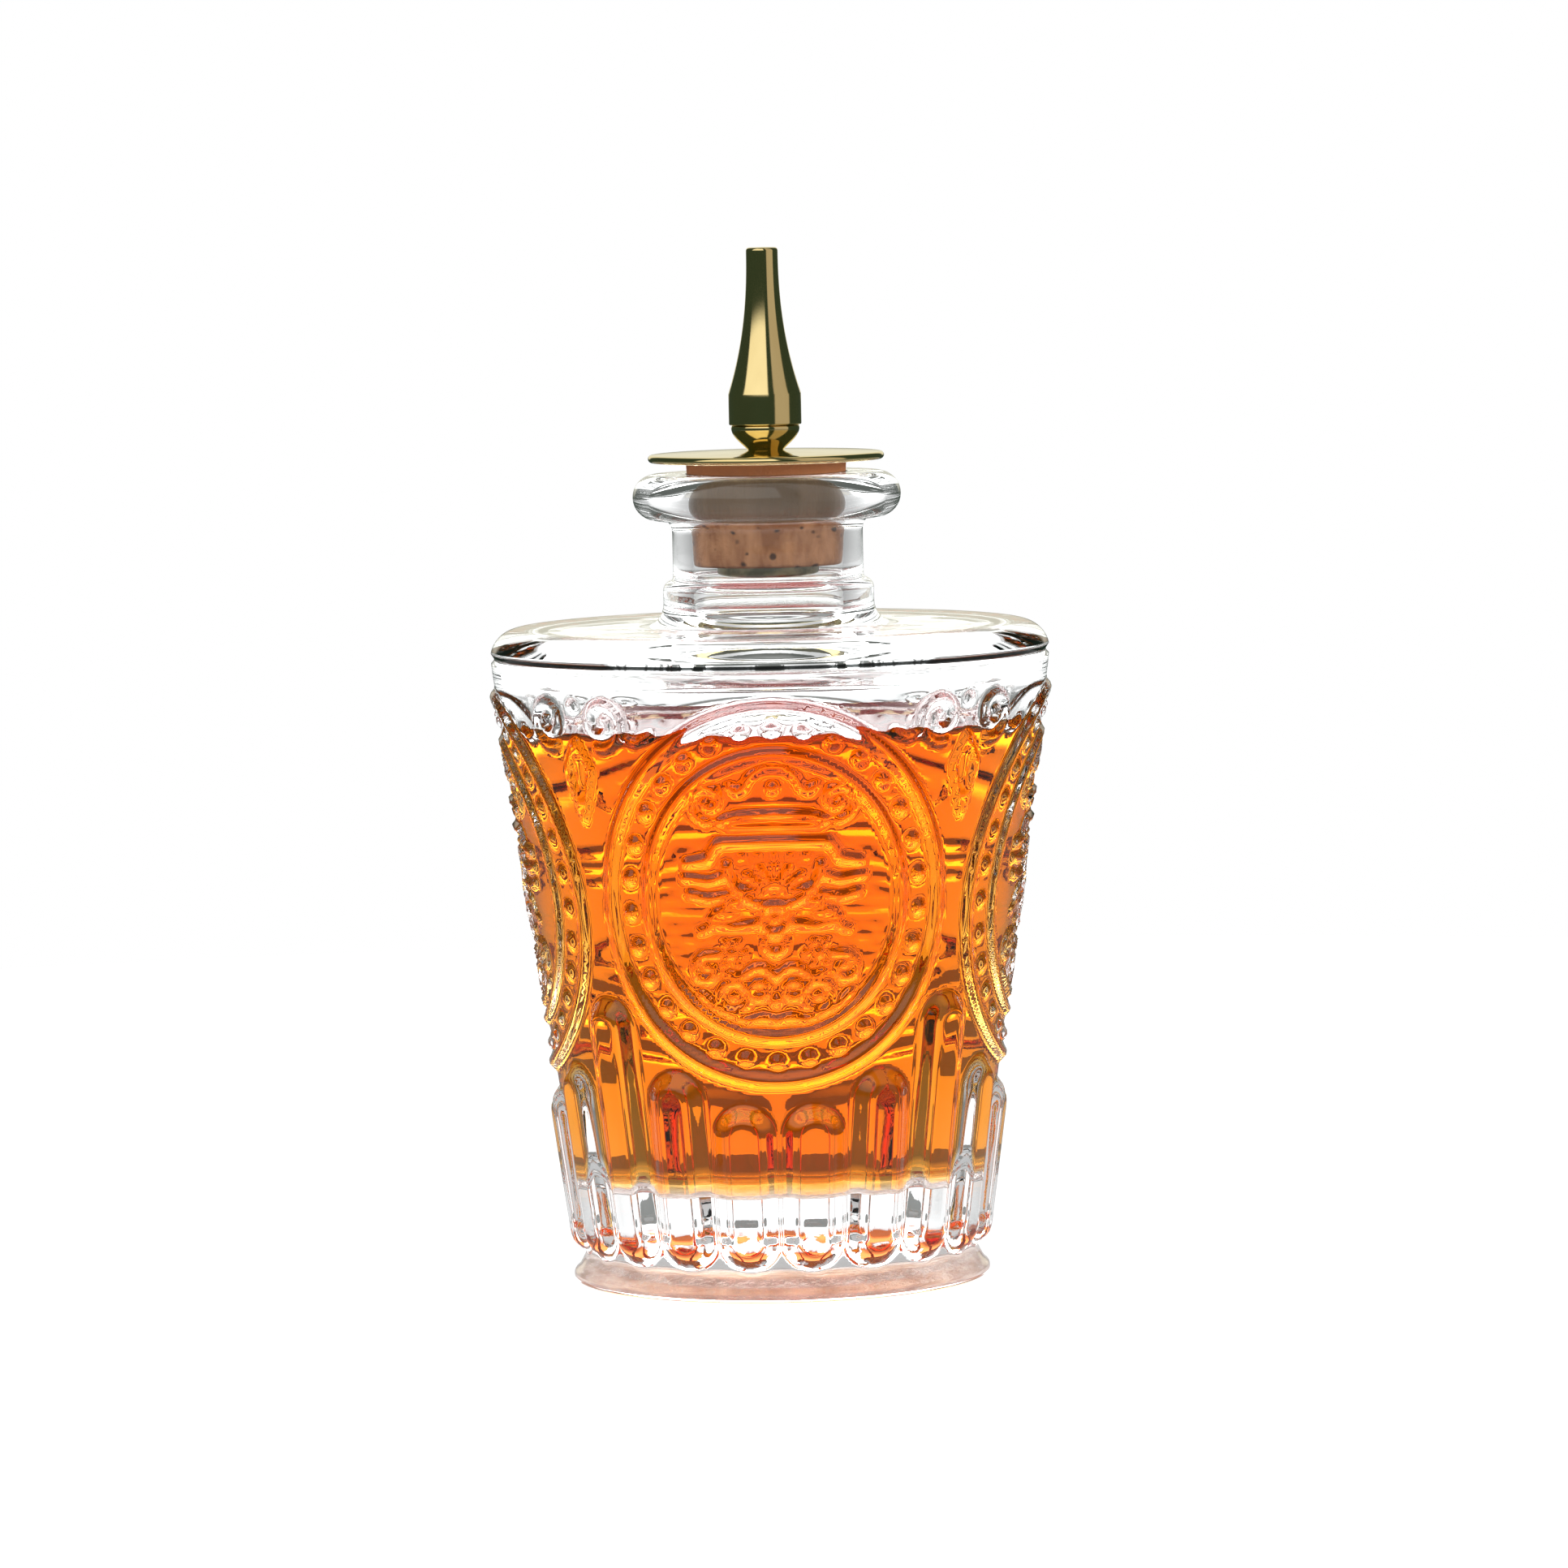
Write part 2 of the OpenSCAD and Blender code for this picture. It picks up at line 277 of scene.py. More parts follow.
@dataclass(frozen=True)
class Finish:
    """A finish on the Principled shader, with soft colour patches and a rippled surface."""

    name: str
    light: Colour
    dark: Colour
    patch_scale: float
    patch_stretch: float
    metallic: float
    smooth_roughness: float
    rough_roughness: float
    wave_scale: float
    grain_scale: float
    grain_share: float
    bump_depth: float
    transmission: float = 0.0
    ior: float = 1.5

    def build(self, mottle: bpy.types.NodeTree, ripple: bpy.types.NodeTree) -> bpy.types.Material:
        """Makes the material.

        Args:
            mottle: the shared group of colour patches.
            ripple: the shared group of surface waves.

        Returns:
            The material.
        """
        material = bpy.data.materials.new(self.name)
        material.use_nodes = True
        tree = material.node_tree
        tree.nodes.clear()
        nodes = Nodes(tree)
        patches = nodes.add("ShaderNodeGroup", node_tree=mottle)
        for label, value in (("Light", self.light), ("Dark", self.dark), ("Scale", self.patch_scale),
                             ("Stretch", self.patch_stretch)):
            patches.inputs[label].default_value = value
        waves = nodes.add("ShaderNodeGroup", node_tree=ripple)
        for label, value in (("Wave scale", self.wave_scale), ("Grain scale", self.grain_scale),
                             ("Grain share", self.grain_share)):
            waves.inputs[label].default_value = value
        bump = nodes.add("ShaderNodeBump", {"Height": waves.outputs["Height"], "Strength": 1.0,
                                            "Distance": self.bump_depth})
        roughness = nodes.add("ShaderNodeMapRange", {0: patches.outputs["Mask"], 3: self.smooth_roughness,
                                                     4: self.rough_roughness}).outputs[0]
        shader = nodes.add("ShaderNodeBsdfPrincipled", {
            "Base Color": self.dress_colour(nodes, patches.outputs["Color"]), "Roughness": roughness, "Metallic": self.metallic,
            "IOR": self.ior, "Transmission Weight": self.transmission, "Normal": bump.outputs[0]})
        output = nodes.add("ShaderNodeOutputMaterial", {"Surface": shader.outputs[0]})
        self.dress_inside(nodes, shader, output)
        return material

    def dress_colour(self, nodes: Nodes, colour: bpy.types.NodeSocket) -> bpy.types.NodeSocket:
        """Returns the colour as it is: most finishes have only their soft patches."""
        return colour

    def dress_inside(self, nodes: Nodes, shader: bpy.types.Node, output: bpy.types.Node) -> None:
        """Adds nothing: most finishes have no inside."""


@dataclass(frozen=True)
class CorkFinish(Finish):
    """Pressed cork with dark pores, painted shade towards its top and a painted lit strip above the mouth."""

    pore: Colour = (0.05, 0.022, 0.012, 1.0)
    # painted shade on the cork's upper part, where the lip and the disc shade it
    top_painted_shade: Colour = (0.08, 0.055, 0.028, 1.0)
    painted_shade_low_z: float = 0.0918
    painted_shade_high_z: float = 0.0934
    # painted light: a lighter strip above the mouth, against the shade of the cover over it
    painted_light_strip: Colour = (0.72, 0.27, 0.11, 1.0)
    painted_light_z: float = 0.0958

    def dress_colour(self, nodes: Nodes, colour: bpy.types.NodeSocket) -> bpy.types.NodeSocket:
        """Adds the pores, the painted shade towards the top and the painted light on the strip above the mouth.

        Args:
            nodes: the material's nodes.
            colour: the colour of the soft patches.

        Returns:
            The finished colour's socket.
        """
        place = nodes.add("ShaderNodeTexCoord").outputs["Object"]
        cells = nodes.add("ShaderNodeTexVoronoi", {"Vector": place, "Scale": 620.0, "Randomness": 1.0}).outputs[0]
        spots = nodes.add("ShaderNodeTexNoise", {"Vector": place, "Scale": 380.0, "Detail": 3.0}).outputs[0]
        pores = nodes.add("ShaderNodeMapRange", {0: nodes.math("ADD", cells, spots), 1: 0.7, 2: 0.56}).outputs[0]
        pitted = nodes.blend(pores, colour, self.pore)
        height = nodes.add("ShaderNodeSeparateXYZ", {0: place}).outputs["Z"]
        uneven = nodes.math("ADD", height, nodes.math("MULTIPLY", spots, 0.0016))
        # painted shade: darker from about 92 mm up
        shaded = nodes.add("ShaderNodeMapRange", {0: uneven, 1: self.painted_shade_low_z, 2: self.painted_shade_high_z, 4: 0.88}).outputs[0]
        # painted light on the strip above the mouth
        painted_light_strip = nodes.add("ShaderNodeMapRange", {0: height, 1: self.painted_light_z - 0.0001, 2: self.painted_light_z + 0.0001}).outputs[0]
        return nodes.blend(painted_light_strip, nodes.blend(shaded, pitted, self.top_painted_shade), self.painted_light_strip)


@dataclass(frozen=True)
class GlassFinish(Finish):
    """Clear glass, with a painted glow in its thick parts that stands for the light caught in them."""

    # painted glow, by emission: near white in the shoulder, near black up the neck
    painted_glow_low: Colour = (0.93, 0.94, 0.94, 1.0)
    painted_glow_high: Colour = (0.06, 0.065, 0.06, 1.0)
    shoulder_z: float = 0.071
    neck_low_z: float = 0.080
    neck_high_z: float = 0.088
    most_turns: float = 3.5
    # painted shade: a near black line painted into the glass's colour just above the groove under the shoulder
    groove_painted_shade: Colour = (0.001, 0.0012, 0.0012, 1.0)
    seam_z: float = 0.07473
    seam_h: float = 0.00048
    seam_r: float = 0.0318
    # painted refraction: the bitters' orange painted into the glass's colour in a half-moon at each flute's foot
    moon_painted_refraction: Colour = (0.25, 0.014, 0.001, 1.0)
    moon_top_z: float = 0.0063
    moon_h: float = 0.0024
    moon_half_w: float = 0.0027
    moon_r: float = 0.0248

    def dress_colour(self, nodes: Nodes, colour: bpy.types.NodeSocket) -> bpy.types.NodeSocket:
        """Paints shade into a line above the groove under the shoulder, and paints the bitters' orange, as the flute
        ends would refract it, into a half-moon at the foot of every flute.

        Args:
            nodes: the material's nodes.
            colour: the colour of the soft patches.

        Returns:
            The finished colour's socket.
        """
        place = nodes.add("ShaderNodeTexCoord").outputs["Object"]
        axes = nodes.add("ShaderNodeSeparateXYZ", {0: place}).outputs
        pitch = math.tau / FLUTE_COUNT
        turn = nodes.math("ARCTAN2", axes["X"], nodes.math("MULTIPLY", axes["Y"], -1.0))
        phase = nodes.math("FRACT", nodes.math("ADD", nodes.math("DIVIDE", turn, pitch), FLUTE_COUNT))
        across = nodes.math("MULTIPLY", nodes.math("SUBTRACT", phase, 0.5), pitch * self.moon_r / self.moon_half_w)
        speckle = nodes.add("ShaderNodeTexNoise", {"Vector": place, "Scale": 900.0, "Detail": 2.0}).outputs[0]
        uneven = nodes.math("MULTIPLY", nodes.math("SUBTRACT", speckle, 0.5), 0.9)
        below = nodes.math("DIVIDE", nodes.math("SUBTRACT", self.moon_top_z, axes["Z"]), self.moon_h)
        reach = nodes.math("ADD", nodes.math("SQRT", nodes.math("ADD", nodes.math("POWER", across, 2.0),
                                                                nodes.math("POWER", below, 2.0))), uneven)
        bowl = nodes.add("ShaderNodeMapRange", {0: reach, 1: 1.1, 2: 0.85}).outputs[0]
        flat = nodes.add("ShaderNodeMapRange", {0: nodes.math("ADD", below, uneven), 1: -0.08, 2: 0.08}).outputs[0]
        # painted refraction: the half-moons of bitters' orange at the flute feet
        painted_moons = nodes.blend(nodes.math("MULTIPLY", bowl, flat), colour, self.moon_painted_refraction)
        out = nodes.math("SQRT", nodes.math("ADD", nodes.math("POWER", axes["X"], 2.0),
                                            nodes.math("POWER", axes["Y"], 2.0)))
        half = self.seam_h / 2
        # painted shade: the near black line above the groove, all the way round
        line = nodes.window(axes["Z"], self.seam_z - half, self.seam_z + half, 0.00006)
        rim = nodes.math("MULTIPLY", line, nodes.math("GREATER_THAN", out, self.seam_r))
        return nodes.blend(rim, painted_moons, self.groove_painted_shade)

    def dress_inside(self, nodes: Nodes, shader: bpy.types.Node, output: bpy.types.Node) -> None:
        """Paints a glow, by emission, on what is seen after many reflections inside the glass above the shoulder.

        Args:
            nodes: the material's nodes.
            shader: its surface shader.
            output: its output node, not used.
        """
        depth = nodes.add("ShaderNodeLightPath").outputs["Glossy Depth"]
        late = nodes.math("GREATER_THAN", depth, self.most_turns)
        place = nodes.add("ShaderNodeTexCoord").outputs["Object"]
        height = nodes.add("ShaderNodeSeparateXYZ", {0: place}).outputs["Z"]
        upper = nodes.add("ShaderNodeMapRange", {0: height, 1: self.neck_low_z, 2: self.neck_high_z}).outputs[0]
        thick = nodes.math("MULTIPLY", late, nodes.math("GREATER_THAN", height, self.shoulder_z))
        # painted glow: emission on paths with many reflections inside the thick glass above the shoulder
        light = nodes.blend(thick, grey(0.0), nodes.blend(upper, self.painted_glow_low, self.painted_glow_high))
        nodes.tree.links.new(light, shader.inputs["Emission Color"])
        shader.inputs["Emission Strength"].default_value = 1.0


@dataclass(frozen=True)
class LiquidFinish(Finish):
    """A clear liquid that takes its colour from its depth."""

    tint: Colour = (0.995, 0.715, 0.0, 1.0)
    density: float = 140.0

    def dress_inside(self, nodes: Nodes, shader: bpy.types.Node, output: bpy.types.Node) -> None:
        """Fills the piece with an absorbing volume.

        Args:
            nodes: the material's nodes.
            shader: its surface shader, not used.
            output: its output node.
        """
        volume = nodes.add("ShaderNodeVolumeAbsorption", {"Color": self.tint, "Density": self.density})
        nodes.tree.links.new(volume.outputs[0], output.inputs["Volume"])


class Finishes(Enum):
    """Every finish on the object."""

    CLEAR_GLASS = GlassFinish("clear_pressed_glass", (0.985, 0.992, 0.992, 1.0), (0.965, 0.978, 0.98, 1.0), 60.0, 1.0,
                         0.0, 0.0, 0.012, 90.0, 700.0, 0.02, 0.00012, 1.0, 1.5)
    WET_GLASS = Finish("wet_glass", (1.0, 0.995, 0.99, 1.0), (0.995, 0.99, 0.98, 1.0), 60.0, 1.0,
                       0.0, 0.0, 0.004, 90.0, 700.0, 0.02, 0.00004, 1.0, 1.5 / 1.37)
    # its warm pinkish colour is painted reflection of the bitters' orange, mixed through the stippled underside
    STIPPLED_GLASS = Finish("stippled_glass", (0.9, 0.83, 0.78, 1.0), (0.62, 0.5, 0.44, 1.0), 260.0, 1.0,
                            0.0, 0.5, 0.65, 900.0, 2600.0, 0.5, 0.0004, 0.6, 1.5)
    BITTERS = LiquidFinish("orange_bitters", (1.0, 0.985, 0.97, 1.0), (1.0, 0.97, 0.94, 1.0), 40.0, 1.0,
                           0.0, 0.0, 0.002, 60.0, 300.0, 0.05, 0.00001, 1.0, 1.001)
    BITTERS_TOP = LiquidFinish("orange_bitters_top", (1.0, 0.985, 0.97, 1.0), (1.0, 0.97, 0.94, 1.0), 40.0, 1.0,
                               0.0, 0.0, 0.004, 60.0, 300.0, 0.05, 0.00002, 1.0, 1.37)
    CORK = CorkFinish("pressed_cork", (0.42, 0.2, 0.095, 1.0), (0.22, 0.09, 0.04, 1.0), 420.0, 0.35,
                      0.0, 0.72, 0.9, 700.0, 2600.0, 0.6, 0.00018)
    GILT = Finish("polished_gilt", (0.88, 0.72, 0.36, 1.0), (0.82, 0.66, 0.32, 1.0), 260.0, 0.2,
                  1.0, 0.06, 0.1, 240.0, 3000.0, 0.12, 0.000008)
    # a darker copy of the gilt: painted shade for the tube, which reflects dark surroundings
    SHADED_GILT = Finish("painted_shade_gilt", (0.34, 0.32, 0.2, 1.0), (0.16, 0.16, 0.11, 1.0), 420.0, 1.0,
                       1.0, 0.3, 0.45, 380.0, 2400.0, 0.4, 0.00005)


class Workshop:
    """Builds each finish once, from the shared effects."""

    def __init__(self) -> None:
        """Builds the shared groups and every material."""
        mottle = SharedEffects.mottle()
        ripple = SharedEffects.ripple()
        self.materials = {kind: kind.value.build(mottle, ripple) for kind in Finishes}

    def material(self, kind: Finishes) -> bpy.types.Material:
        """Returns the material of a finish."""
        return self.materials[kind]


def soften(share: np.ndarray) -> np.ndarray:
    """Climbs straight from 0 and then rounds off to 1, from a share of 0.7 to one of 1.3."""
    late = np.clip((share - 0.7) / 0.6, 0.0, 1.0)
    return np.minimum(share, 0.7) + 0.6 * (late - 0.5 * late * late)


def swell(share: np.ndarray) -> np.ndarray:
    """Gives a soft round bump: 1 at a share of 0, falling to 0 at a share of 1."""
    return np.clip(1.0 - share * share, 0.0, 1.0) ** 1.5


@dataclass(frozen=True)
class Stroke:
    """A raised line or spot of the relief, in millimetres on the unrolled wall."""

    half_w: float
    height: float

    def distance(self, u: np.ndarray, v: np.ndarray) -> np.ndarray:
        """Returns each point's distance from the stroke's middle line."""
        raise NotImplementedError

    def rise(self, u: np.ndarray, v: np.ndarray) -> np.ndarray:
        """Returns how far the stroke lifts each point."""
        return self.height * swell(self.distance(u, v) / self.half_w)


@dataclass(frozen=True)
class Path(Stroke):
    """A line through a few points."""

    points: tuple[Point, ...] = ()

    def distance(self, u: np.ndarray, v: np.ndarray) -> np.ndarray:
        """Returns each point's distance from the nearest stretch."""
        nearest = np.full_like(u, np.inf)
        for (u0, v0), (u1, v1) in zip(self.points, self.points[1:]):
            du, dv = u1 - u0, v1 - v0
            share = np.clip(((u - u0) * du + (v - v0) * dv) / (du * du + dv * dv), 0.0, 1.0)
            nearest = np.minimum(nearest, np.hypot(u - u0 - share * du, v - v0 - share * dv))
        return nearest


@dataclass(frozen=True)
class Bow(Stroke):
    """Part of a circle, between two angles in degrees."""

    centre: Point = (0.0, 0.0)
    radius: float = 1.0
    start: float = 0.0
    end: float = 360.0

    def distance(self, u: np.ndarray, v: np.ndarray) -> np.ndarray:
        """Returns each point's distance from the bow."""
        x, y = u - self.centre[0], v - self.centre[1]
        turn = np.mod(np.degrees(np.arctan2(y, x)) - self.start, 360.0)
        on_bow = np.abs(np.hypot(x, y) - self.radius)
        ends = [(self.radius * math.cos(math.radians(a)), self.radius * math.sin(math.radians(a)))
                for a in (self.start, self.end)]
        off = np.minimum(*[np.hypot(x - ex, y - ey) for ex, ey in ends])
        return np.where(turn <= self.end - self.start, on_bow, off)


@dataclass(frozen=True)
class Spot(Stroke):
    """A domed oval; half_w is its half width, and tall its height over its width."""

    centre: Point = (0.0, 0.0)
    tall: float = 1.0

    def distance(self, u: np.ndarray, v: np.ndarray) -> np.ndarray:
        """Returns each point's distance from the middle, in half widths of the oval."""
        return np.hypot(u - self.centre[0], (v - self.centre[1]) / self.tall)


@dataclass(frozen=True)
class Curl(Stroke):
    """A spiral that winds in towards its centre."""

    centre: Point = (0.0, 0.0)
    radius: float = 3.0
    start: float = -90.0
    turns: float = 1.6
    way: int = 1

    def distance(self, u: np.ndarray, v: np.ndarray) -> np.ndarray:
        """Returns each point's distance from the nearest turn."""
        x, y = u - self.centre[0], v - self.centre[1]
        turn = np.mod(self.way * (np.degrees(np.arctan2(y, x)) - self.start), 360.0) / 360.0
        reach = np.hypot(x, y)
        nearest = np.full_like(u, np.inf)
        for lap in range(math.ceil(self.turns)):
            along = turn + lap
            wound = self.radius * (1.0 - 0.85 * along / self.turns)
            nearest = np.where(along <= self.turns, np.minimum(nearest, np.abs(reach - wound)), nearest)
        return nearest


@dataclass(frozen=True)
class Oval(Stroke):
    """A closed oval line about the origin."""

    half_width: float = 20.0
    half_height: float = 22.0

    def distance(self, u: np.ndarray, v: np.ndarray) -> np.ndarray:
        """Returns each point's distance from the oval."""
        size = np.hypot(u / self.half_width, v / self.half_height)
        slope = np.hypot(u / self.half_width**2, v / self.half_height**2) + 1e-9
        return np.abs((size - 1.0) * size / slope)


@dataclass
class WallRelief:
    """The pressed pattern of the wall: flutes, medallions, and scrolls between them."""

    wall_low_r: float = 23.3
    wall_low_z: float = 3.4
    wall_slope: float = (33.2 - 23.3) / (74.3 - 3.4)
    flute_count: int = FLUTE_COUNT
    flute_half_w: float = 3.72
    flute_rise: float = 1.55
    flute_slope_w: float = 1.9
    flute_end_w: float = 1.5
    flute_low_z: float = 3.6
    flute_gap: float = 2.4
    medallion_z: float = 48.0
    ring_half_w: float = 20.4
    ring_half_h: float = 21.8
    inner_half_w: float = 15.2
    inner_half_h: float = 16.6
    bead_half_w: float = 17.75
    bead_half_h: float = 19.6
    bead_count: int = 30
    bead_r: float = 1.15
    scroll_z: float = 68.0
    urn_depth: float = 0.82

    def radius(self, z: np.ndarray) -> np.ndarray:
        """Returns the plain wall's radius at each height."""
        return self.wall_low_r + self.wall_slope * (z - self.wall_low_z)

    def urn(self) -> list[Stroke]:
        """Lists the right half of the urn, its scrolls and its garland, which mirrors to the left."""
        rays = [Path(0.5, 0.5, ((1.3 * math.sin(a), -0.1 + 1.6 * math.cos(a)), (4.3 * math.sin(a), 0.2 + 3.6 * math.cos(a))))
                for a in map(math.radians, (0.0, 24.0, 48.0, 74.0))]
        petals = [Spot(0.62, 0.45, (5.1 + 1.45 * math.cos(a), -6.7 + 1.45 * math.sin(a)))
                  for a in map(math.radians, range(0, 360, 60))]
        frieze = [Spot(0.5, 0.4, (x, 4.7)) for x in (0.0, 1.9, 3.8)]
        return rays + petals + frieze + [
            Bow(0.62, 0.65, (0.0, 11.9), 3.4, 15.0, 165.0),
            Spot(0.95, 0.6, (0.0, 12.7), 0.9),
            Path(0.6, 0.55, ((3.3, 12.7), (4.3, 12.2), (5.0, 13.0))),
            Curl(0.55, 0.6, (7.5, 11.2), 2.4, -90.0, 1.3, 1),
            Path(0.62, 0.7, ((0.0, 9.7), (4.6, 9.4), (6.2, 8.9))),
            Path(0.5, 0.5, ((0.0, 8.3), (5.6, 8.2))),
            Path(0.75, 0.75, ((0.0, 6.5), (6.4, 6.4), (7.2, 5.4), (7.7, 4.4), (10.2, 4.0))),
            Path(0.6, 0.6, ((5.4, 3.0), (6.2, 2.3), (7.6, 1.9), (10.6, 2.3))),
            Bow(0.65, 0.7, (0.0, 4.5), 5.6, -90.0, -8.0),
            Path(0.6, 0.55, ((5.2, 0.3), (7.6, -0.2), (10.0, 0.4))),
            Bow(0.6, 0.7, (0.0, -2.6), 1.55, 0.0, 360.0),
            Spot(0.8, 0.5, (0.0, -2.6)),
            Bow(0.5, 0.6, (0.0, -5.5), 1.1, 0.0, 360.0),
            Spot(1.9, 0.55, (6.0, -1.9), 0.6),
            Path(0.5, 0.5, ((2.2, -3.2), (4.6, -3.5), (6.8, -3.2), (8.7, -4.1))),
            Path(0.5, 0.55, ((4.0, -0.6), (5.4, -0.6), (7.6, -2.8))),
            Spot(0.8, 0.6, (5.1, -6.7)),
            Curl(0.55, 0.6, (8.0, -8.6), 1.9, 120.0, 1.25, -1),
            Path(0.55, 0.6, ((0.0, -9.4), (1.5, -8.2), (2.7, -8.4), (4.0, -9.3), (5.8, -9.0))),
            Bow(0.55, 0.6, (4.9, -11.7), 1.75, 0.0, 360.0),
            Spot(0.8, 0.5, (4.9, -11.7)),
            Bow(0.5, 0.55, (2.0, -10.9), 1.0, 0.0, 360.0),
            Spot(0.95, 0.55, (0.0, -12.2)),
            Path(0.6, 0.65, ((0.0, -14.6), (1.6, -14.1), (3.2, -14.6), (5.2, -13.9), (7.0, -13.1), (8.8, -11.3))),
        ]

    def medallion(self) -> list[Stroke]:
        """Lists the two rings of a medallion."""
        return [Oval(1.15, 0.8, self.ring_half_w, self.ring_half_h),
                Oval(0.95, 0.6, self.inner_half_w, self.inner_half_h)]

    def beads(self) -> list[Stroke]:
        """Lists the beads between the rings."""
        angles = [math.tau * (i + 0.5) / self.bead_count for i in range(self.bead_count)]
        return [Spot(self.bead_r, 0.6, (self.bead_half_w * math.cos(a), self.bead_half_h * math.sin(a)))
                for a in angles]

    def between(self) -> list[Stroke]:
        """Lists the right half of the scrolls and the leaf between two medallions, about the scrolls' height."""
        return [Curl(0.62, 0.75, (4.4, 0.2), 3.1, -115.0, 1.55, 1),
                Spot(0.85, 0.6, (0.0, 2.1)),
                Path(0.5, 0.6, ((0.0, -2.0), (1.9, -5.6), (0.0, -11.4))),
                Path(0.45, 0.5, ((0.0, -3.4), (0.0, -9.4))),
                Path(0.55, 0.6, ((6.9, -1.2), (8.7, -2.1), (10.7, -1.2)))]

    def flute_height(self, theta: np.ndarray, z: np.ndarray) -> np.ndarray:
        """Returns how far the flutes lift each point of the wall."""
        pitch = math.tau / self.flute_count
        centre = (np.floor(theta / pitch) + 0.5) * pitch
        quarter = math.pi / 2
        offset = np.abs(np.mod(centre + quarter / 2, quarter) - quarter / 2)
        low_ring_r = self.radius(np.array(self.medallion_z - self.ring_half_h))
        share = np.minimum(offset * low_ring_r / (self.ring_half_w + 0.8), 0.9)
        top = self.medallion_z - (self.ring_half_h + 0.8) * np.sqrt(1.0 - share**2) - self.flute_gap
        across = self.radius(z) * (theta - centre)
        under = np.maximum(0.0, self.flute_low_z + self.flute_half_w - z)
        over = np.maximum(0.0, z - top + self.flute_half_w)
        slope_w = np.where(under > 0.0, self.flute_end_w, self.flute_slope_w)
        inwards = (self.flute_half_w - np.hypot(across, under + over)) / slope_w
        return self.flute_rise * soften(np.clip(inwards, 0.0, None))

    def height(self, theta: np.ndarray, z: np.ndarray) -> np.ndarray:
        """Works out the whole pattern.

        Args:
            theta: each point's angle from the front, in radians.
            z: its height in millimetres.

        Returns:
            How far each point stands out from the plain wall, in millimetres.
        """
        quarter = math.pi / 2
        u = self.radius(z) * (np.mod(theta + quarter / 2, quarter) - quarter / 2)
        v = z - self.medallion_z
        lifted = self.flute_height(theta, z)
        for stroke in self.urn():
            lifted = np.maximum(lifted, self.urn_depth * stroke.rise(np.abs(u), v))
        for stroke in self.medallion() + self.beads():
            lifted = np.maximum(lifted, stroke.rise(u, v))
        across = np.abs(self.radius(z) * (np.mod(theta, quarter) - quarter / 2))
        for stroke in self.between():
            lifted = np.maximum(lifted, stroke.rise(across, z - self.scroll_z))
        return lifted


